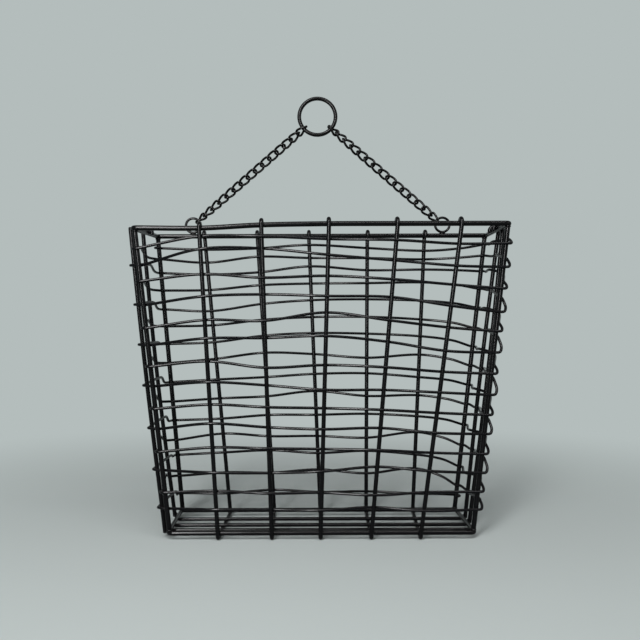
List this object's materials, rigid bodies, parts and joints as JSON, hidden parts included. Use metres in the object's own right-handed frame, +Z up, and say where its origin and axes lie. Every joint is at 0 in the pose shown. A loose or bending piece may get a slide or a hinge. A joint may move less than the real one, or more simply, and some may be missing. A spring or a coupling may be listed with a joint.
{
  "type": "hanging file rack",
  "caption": "Black wire wall basket for files, thin wire woven through upright ribs, hung from a ring by two runs of twisted-link chain",
  "frame": {"origin": "on the floor plane under the lowest wire, at the middle of the box around the rack", "axes": "+X to the right along the wall, +Y into the wall, +Z up; the front faces -Y"},
  "size_m": [0.3894, 0.1364, 0.4744],
  "materials": {
    "frame_wire": "satin black lacquer on iron wire",
    "woven_wire": "satin black lacquer on thin iron wire",
    "chain_wire": "satin black lacquer on iron chain"
  },
  "bodies": {
    "basket": {"top_rim": "frame_wire", "bottom_frame": "frame_wire", "front_left_post": "frame_wire", "front_right_post": "frame_wire", "back_left_post": "frame_wire", "back_right_post": "frame_wire", "cross_rib_1": "frame_wire", "cross_rib_2": "frame_wire", "cross_rib_3": "frame_wire", "cross_rib_4": "frame_wire", "cross_rib_5": "frame_wire", "left_side_post_1": "frame_wire", "left_side_post_2": "frame_wire", "right_side_post_1": "frame_wire", "right_side_post_2": "frame_wire", "bottom_wire_1": "frame_wire", "bottom_wire_2": "frame_wire", "bottom_wire_3": "frame_wire", "weft_wire": "woven_wire", "left_eyelet": "frame_wire", "right_eyelet": "frame_wire"},
    "link_pair_01": {"left_link_01": "chain_wire", "right_link_01": "chain_wire"},
    "link_pair_02": {"left_link_02": "chain_wire", "right_link_02": "chain_wire"},
    "link_pair_03": {"left_link_03": "chain_wire", "right_link_03": "chain_wire"},
    "link_pair_04": {"left_link_04": "chain_wire", "right_link_04": "chain_wire"},
    "link_pair_05": {"left_link_05": "chain_wire", "right_link_05": "chain_wire"},
    "link_pair_06": {"left_link_06": "chain_wire", "right_link_06": "chain_wire"},
    "link_pair_07": {"left_link_07": "chain_wire", "right_link_07": "chain_wire"},
    "link_pair_08": {"left_link_08": "chain_wire", "right_link_08": "chain_wire"},
    "link_pair_09": {"left_link_09": "chain_wire", "right_link_09": "chain_wire"},
    "link_pair_10": {"left_link_10": "chain_wire", "right_link_10": "chain_wire"},
    "link_pair_11": {"left_link_11": "chain_wire", "right_link_11": "chain_wire"},
    "link_pair_12": {"left_link_12": "chain_wire", "right_link_12": "chain_wire"},
    "link_pair_13": {"left_link_13": "chain_wire", "right_link_13": "chain_wire"},
    "link_pair_14": {"left_link_14": "chain_wire", "right_link_14": "chain_wire"},
    "link_pair_15": {"left_link_15": "chain_wire", "right_link_15": "chain_wire"},
    "hanging_ring": {"hang_ring": "chain_wire"}
  },
  "joints": [
    {"name": "hanger_fold", "type": "hinge", "parent": "basket", "child": "link_pair_01", "pos_m": [0, 0.0585, 0.33317], "axis": [1, 0, 0], "range_deg": [-18, 18]},
    {"name": "chain_hinge_02", "type": "hinge", "parent": "link_pair_01", "child": "link_pair_02", "pos_m": [0, 0.0585, 0.34028], "axis": [-1, 0, 0], "range_deg": [-7, 7]},
    {"name": "chain_hinge_03", "type": "hinge", "parent": "link_pair_02", "child": "link_pair_03", "pos_m": [0, 0.0585, 0.34738], "axis": [1, 0, 0], "range_deg": [-12, 12]},
    {"name": "chain_hinge_04", "type": "hinge", "parent": "link_pair_03", "child": "link_pair_04", "pos_m": [0, 0.0585, 0.35449], "axis": [-1, 0, 0], "range_deg": [-15, 15]},
    {"name": "chain_hinge_05", "type": "hinge", "parent": "link_pair_04", "child": "link_pair_05", "pos_m": [0, 0.0585, 0.3616], "axis": [1, 0, 0], "range_deg": [-18, 18]},
    {"name": "chain_hinge_06", "type": "hinge", "parent": "link_pair_05", "child": "link_pair_06", "pos_m": [0, 0.0585, 0.36871], "axis": [-1, 0, 0], "range_deg": [-18, 18]},
    {"name": "chain_hinge_07", "type": "hinge", "parent": "link_pair_06", "child": "link_pair_07", "pos_m": [0, 0.0585, 0.37581], "axis": [1, 0, 0], "range_deg": [-18, 18]},
    {"name": "chain_hinge_08", "type": "hinge", "parent": "link_pair_07", "child": "link_pair_08", "pos_m": [0, 0.0585, 0.38292], "axis": [-1, 0, 0], "range_deg": [-18, 18]},
    {"name": "chain_hinge_09", "type": "hinge", "parent": "link_pair_08", "child": "link_pair_09", "pos_m": [0, 0.0585, 0.39003], "axis": [1, 0, 0], "range_deg": [-18, 18]},
    {"name": "chain_hinge_10", "type": "hinge", "parent": "link_pair_09", "child": "link_pair_10", "pos_m": [0, 0.0585, 0.39714], "axis": [-1, 0, 0], "range_deg": [-18, 18]},
    {"name": "chain_hinge_11", "type": "hinge", "parent": "link_pair_10", "child": "link_pair_11", "pos_m": [0, 0.0585, 0.40424], "axis": [1, 0, 0], "range_deg": [-18, 18]},
    {"name": "chain_hinge_12", "type": "hinge", "parent": "link_pair_11", "child": "link_pair_12", "pos_m": [0, 0.0585, 0.41135], "axis": [-1, 0, 0], "range_deg": [-18, 18]},
    {"name": "chain_hinge_13", "type": "hinge", "parent": "link_pair_12", "child": "link_pair_13", "pos_m": [0, 0.0585, 0.41846], "axis": [1, 0, 0], "range_deg": [-15, 15]},
    {"name": "chain_hinge_14", "type": "hinge", "parent": "link_pair_13", "child": "link_pair_14", "pos_m": [0, 0.0585, 0.42557], "axis": [-1, 0, 0], "range_deg": [-12, 12]},
    {"name": "chain_hinge_15", "type": "hinge", "parent": "link_pair_14", "child": "link_pair_15", "pos_m": [0, 0.0585, 0.43267], "axis": [1, 0, 0], "range_deg": [-7, 7]},
    {"name": "ring_tilt", "type": "hinge", "parent": "link_pair_15", "child": "hanging_ring", "pos_m": [0, 0.0585, 0.43978], "axis": [-1, 0, 0], "range_deg": [-5, 5]}
  ]
}
